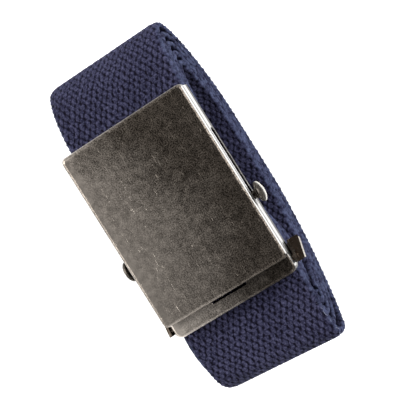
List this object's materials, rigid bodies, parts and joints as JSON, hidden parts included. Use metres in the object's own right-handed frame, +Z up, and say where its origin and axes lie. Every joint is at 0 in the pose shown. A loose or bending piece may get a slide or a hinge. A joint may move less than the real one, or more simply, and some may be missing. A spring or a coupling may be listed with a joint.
{
  "type": "canvas web belt",
  "caption": "Rolled-up canvas web belt with a plain friction buckle: cover plate, slotted channel, sliding locking pin and toothed end clamp.",
  "frame": {"origin": "centre of the belt's outline, on the surface that the roll lies on", "axes": "+X along the buckle towards the end where the strap is clamped, +Y across the strap, +Z up, out of the cover plate"},
  "size_m": [0.1053, 0.048, 0.0489],
  "materials": {
    "webbing": "navy plain-woven canvas webbing, matt",
    "gunmetal": "antique nickel, mottled and finely scratched",
    "steel": "antique nickel, satin",
    "pin": "antique nickel, worn bright on the head",
    "clamp": "dark antique nickel, worn along its edges"
  },
  "bodies": {
    "belt": {"strap": "webbing", "cover_plate": "gunmetal", "buckle_base": "steel", "end_clamp": "clamp"},
    "pin": {"locking_pin": "pin"}
  },
  "joints": [
    {"name": "pin_slide", "type": "slide", "parent": "belt", "child": "pin", "axis": [-1, 0, 0], "range_m": [0, 0.021]}
  ]
}
